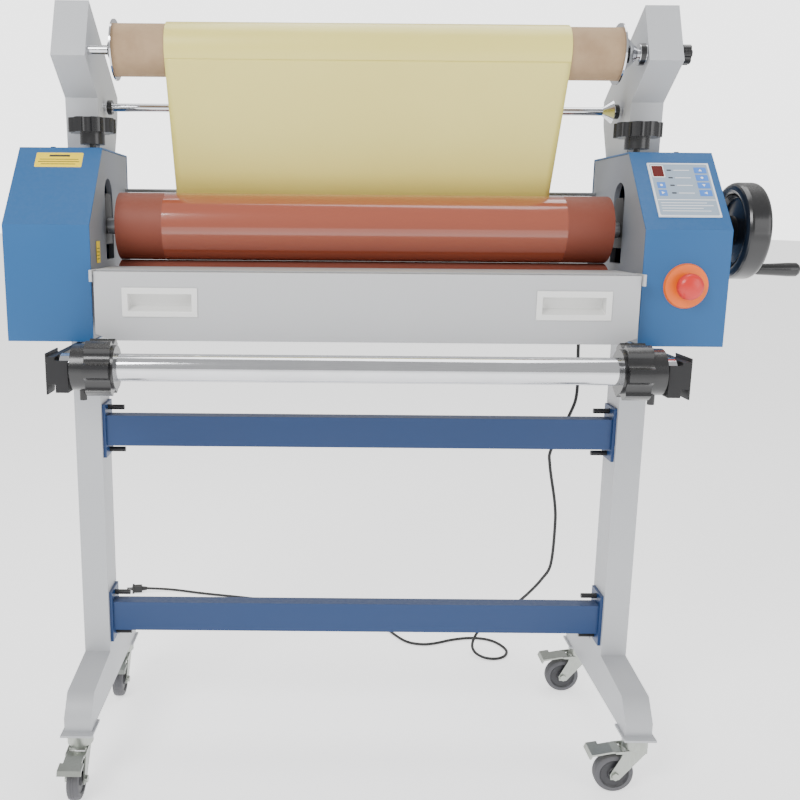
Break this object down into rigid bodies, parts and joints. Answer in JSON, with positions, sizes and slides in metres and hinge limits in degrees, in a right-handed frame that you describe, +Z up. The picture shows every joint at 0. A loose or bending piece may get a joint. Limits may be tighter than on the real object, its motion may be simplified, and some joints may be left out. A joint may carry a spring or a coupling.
{
  "type": "cold roll laminator",
  "caption": "Free-standing cold roll laminator with a pair of rubber rollers between covered ends, a film unwind above, a take-up bar below and a castered stand.",
  "frame": {"origin": "middle of the machine's own box at floor level, without its mains lead", "axes": "+X to the operator's right along the rollers, +Y to the back, +Z up"},
  "size_m": [1.4201, 1.0864, 1.436],
  "materials": {
    "light_coat": "satin powder coat",
    "blue_coat": "textured powder coat",
    "navy_coat": "satin powder coat",
    "plate_coat": "satin powder coat",
    "white_plastic": "moulded",
    "overlay_film": "printed membrane",
    "key_film": "embossed membrane",
    "orange_plastic": "moulded",
    "red_plastic": "moulded",
    "chrome_steel": "polished",
    "core_board": "spiral wound",
    "liner_film": "satin film",
    "bare_steel": "turned",
    "red_rubber": "ground",
    "dark_steel": "black",
    "black_plastic": "moulded",
    "cord_jacket": "smooth jacket",
    "zinc_steel": "zinc plated",
    "grey_rubber": "moulded"
  },
  "bodies": {
    "machine": {"stand_end_left": "light_coat", "stand_end_right": "light_coat", "cross_bar_upper": "navy_coat", "cross_bar_lower": "navy_coat", "fasteners": "dark_steel", "side_plate_left": "plate_coat", "side_plate_right": "plate_coat", "cover_left": "blue_coat", "cover_right": "blue_coat", "tie_bars": "plate_coat", "feed_table": "light_coat", "control_panel": "overlay_film", "estop_plate": "orange_plastic", "roll_arm_left": "light_coat", "roll_arm_right": "light_coat", "film_web": "liner_film", "pressure_springs": "bare_steel", "takeup_cradles": "dark_steel", "drive_motor": "dark_steel", "cord_gland": "black_plastic", "mains_cord": "cord_jacket", "mains_plug": "cord_jacket"},
    "leaf": {"feed_panel": "light_coat", "panel_pulls": "white_plastic"},
    "lower_roller": {"lower_roller_shaft": "bare_steel", "lower_roller_rubber": "red_rubber"},
    "lift": {"bearing_blocks": "dark_steel"},
    "upper_roller": {"upper_roller_shaft": "bare_steel", "upper_roller_rubber": "red_rubber", "handwheel": "black_plastic"},
    "crank": {"crank_grip": "black_plastic"},
    "screw_left": {"pressure_screw_left": "black_plastic"},
    "screw_right": {"pressure_screw_right": "black_plastic"},
    "supply": {"supply_spindle": "chrome_steel", "supply_core": "core_board", "film_roll": "liner_film"},
    "brake": {"brake_knob": "black_plastic"},
    "liner": {"liner_rod": "chrome_steel"},
    "takeup": {"takeup_tube": "chrome_steel"},
    "chuck_left": {"core_chuck_left": "black_plastic"},
    "chuck_right": {"core_chuck_right": "black_plastic"},
    "estop": {"estop_button": "red_plastic"},
    "key_faster_pad": {"key_faster": "key_film"},
    "key_stop_pad": {"key_stop": "key_film"},
    "key_slower_pad": {"key_slower": "key_film"},
    "key_reverse_pad": {"key_reverse": "key_film"},
    "key_mode_pad": {"key_mode": "key_film"},
    "key_run_pad": {"key_run": "key_film"},
    "fork_fl": {"caster_fork_fl": "zinc_steel"},
    "wheel_fl": {"caster_wheel_fl": "grey_rubber"},
    "pedal_fl": {"brake_pedal_fl": "zinc_steel"},
    "fork_fr": {"caster_fork_fr": "zinc_steel"},
    "wheel_fr": {"caster_wheel_fr": "grey_rubber"},
    "pedal_fr": {"brake_pedal_fr": "zinc_steel"},
    "fork_rl": {"caster_fork_rl": "zinc_steel"},
    "wheel_rl": {"caster_wheel_rl": "grey_rubber"},
    "pedal_rl": {"brake_pedal_rl": "zinc_steel"},
    "fork_rr": {"caster_fork_rr": "zinc_steel"},
    "wheel_rr": {"caster_wheel_rr": "grey_rubber"},
    "pedal_rr": {"brake_pedal_rr": "zinc_steel"}
  },
  "joints": [
    {"name": "leaf_hinge", "type": "hinge", "parent": "machine", "child": "leaf", "pos_m": [-0.0885, -0.1695, 0.97], "axis": [-1, 0, 0], "range_deg": [0, 90]},
    {"name": "roller_lift", "type": "slide", "parent": "machine", "child": "lift", "axis": [0, 0, 1], "range_m": [0, 0.012], "deforming": ["pressure_springs"]},
    {"name": "lower_roller_spin", "type": "hinge", "parent": "machine", "child": "lower_roller", "pos_m": [-0.0885, 0.0065, 0.927], "axis": [1, 0, 0], "continuous": true},
    {"name": "upper_roller_spin", "type": "hinge", "parent": "lift", "child": "upper_roller", "pos_m": [-0.0885, 0.0065, 1.0473], "axis": [1, 0, 0], "continuous": true},
    {"name": "crank_spin", "type": "hinge", "parent": "upper_roller", "child": "crank", "pos_m": [0.6115, -0.01812, 0.97964], "axis": [1, 0, 0], "continuous": true},
    {"name": "screw_left_turn", "type": "hinge", "parent": "machine", "child": "screw_left", "pos_m": [-0.5785, 0.0065, 1.183], "axis": [0, 0, 1], "range_deg": [0, 1080]},
    {"name": "screw_right_turn", "type": "hinge", "parent": "machine", "child": "screw_right", "pos_m": [0.4015, 0.0065, 1.183], "axis": [0, 0, 1], "range_deg": [0, 1080]},
    {"name": "supply_spin", "type": "hinge", "parent": "machine", "child": "supply", "pos_m": [-0.0885, -0.0105, 1.35], "axis": [1, 0, 0], "continuous": true},
    {"name": "brake_turn", "type": "hinge", "parent": "supply", "child": "brake", "pos_m": [0.4685, -0.0105, 1.35], "axis": [1, 0, 0], "range_deg": [0, 360]},
    {"name": "liner_spin", "type": "hinge", "parent": "machine", "child": "liner", "pos_m": [-0.0885, 0.1015, 1.266], "axis": [1, 0, 0], "continuous": true},
    {"name": "takeup_spin", "type": "hinge", "parent": "machine", "child": "takeup", "pos_m": [-0.0885, -0.2345, 0.824], "axis": [1, 0, 0], "continuous": true},
    {"name": "chuck_left_slide", "type": "slide", "parent": "takeup", "child": "chuck_left", "axis": [1, 0, 0], "range_m": [0, 0.2]},
    {"name": "chuck_right_slide", "type": "slide", "parent": "takeup", "child": "chuck_right", "axis": [-1, 0, 0], "range_m": [0, 0.2]},
    {"name": "estop_push", "type": "slide", "parent": "machine", "child": "estop", "axis": [0, 1, 0], "range_m": [0, 0.004], "stiffness_N_per_m": 800, "springref_m": -0.002},
    {"name": "key_faster_press", "type": "slide", "parent": "machine", "child": "key_faster_pad", "axis": [0, 0.7508, -0.6605], "range_m": [0, 0.0006], "stiffness_N_per_m": 300, "springref_m": -0.0003},
    {"name": "key_stop_press", "type": "slide", "parent": "machine", "child": "key_stop_pad", "axis": [0, 0.7508, -0.6605], "range_m": [0, 0.0006], "stiffness_N_per_m": 300, "springref_m": -0.0003},
    {"name": "key_slower_press", "type": "slide", "parent": "machine", "child": "key_slower_pad", "axis": [0, 0.7508, -0.6605], "range_m": [0, 0.0006], "stiffness_N_per_m": 300, "springref_m": -0.0003},
    {"name": "key_reverse_press", "type": "slide", "parent": "machine", "child": "key_reverse_pad", "axis": [0, 0.7508, -0.6605], "range_m": [0, 0.0006], "stiffness_N_per_m": 300, "springref_m": -0.0003},
    {"name": "key_mode_press", "type": "slide", "parent": "machine", "child": "key_mode_pad", "axis": [0, 0.7508, -0.6605], "range_m": [0, 0.0006], "stiffness_N_per_m": 300, "springref_m": -0.0003},
    {"name": "key_run_press", "type": "slide", "parent": "machine", "child": "key_run_pad", "axis": [0, 0.7508, -0.6605], "range_m": [0, 0.0006], "stiffness_N_per_m": 300, "springref_m": -0.0003},
    {"name": "swivel_fl", "type": "hinge", "parent": "machine", "child": "fork_fl", "pos_m": [-0.612, -0.1285, 0.105], "axis": [0, 0, 1], "continuous": true},
    {"name": "roll_fl", "type": "hinge", "parent": "fork_fl", "child": "wheel_fl", "pos_m": [-0.612, -0.1665, 0.0375], "axis": [1, 0, 0], "continuous": true},
    {"name": "pedal_fl_press", "type": "hinge", "parent": "fork_fl", "child": "pedal_fl", "pos_m": [-0.612, -0.1385, 0.088], "axis": [1, 0, 0], "range_deg": [0, 10]},
    {"name": "swivel_fr", "type": "hinge", "parent": "machine", "child": "fork_fr", "pos_m": [0.435, -0.1285, 0.105], "axis": [0, 0, 1], "continuous": true},
    {"name": "roll_fr", "type": "hinge", "parent": "fork_fr", "child": "wheel_fr", "pos_m": [0.397, -0.1285, 0.0375], "axis": [0, -1, 0], "continuous": true},
    {"name": "pedal_fr_press", "type": "hinge", "parent": "fork_fr", "child": "pedal_fr", "pos_m": [0.425, -0.1285, 0.088], "axis": [0, -1, 0], "range_deg": [0, 10]},
    {"name": "swivel_rl", "type": "hinge", "parent": "machine", "child": "fork_rl", "pos_m": [-0.612, 0.2515, 0.105], "axis": [0, 0, 1], "continuous": true},
    {"name": "roll_rl", "type": "hinge", "parent": "fork_rl", "child": "wheel_rl", "pos_m": [-0.612, 0.2135, 0.0375], "axis": [1, 0, 0], "continuous": true},
    {"name": "pedal_rl_press", "type": "hinge", "parent": "fork_rl", "child": "pedal_rl", "pos_m": [-0.612, 0.2415, 0.088], "axis": [1, 0, 0], "range_deg": [0, 10]},
    {"name": "swivel_rr", "type": "hinge", "parent": "machine", "child": "fork_rr", "pos_m": [0.435, 0.2515, 0.105], "axis": [0, 0, 1], "continuous": true},
    {"name": "roll_rr", "type": "hinge", "parent": "fork_rr", "child": "wheel_rr", "pos_m": [0.397, 0.2515, 0.0375], "axis": [0, -1, 0], "continuous": true},
    {"name": "pedal_rr_press", "type": "hinge", "parent": "fork_rr", "child": "pedal_rr", "pos_m": [0.425, 0.2515, 0.088], "axis": [0, -1, 0], "range_deg": [0, 10]}
  ],
  "couplings": [
    {"joint": "upper_roller_spin", "follows": "lower_roller_spin", "ratio": -1},
    {"joint": "screw_left_turn", "follows": "roller_lift", "rad_per_m": 1570.8},
    {"joint": "screw_right_turn", "follows": "roller_lift", "rad_per_m": 1570.8}
  ]
}
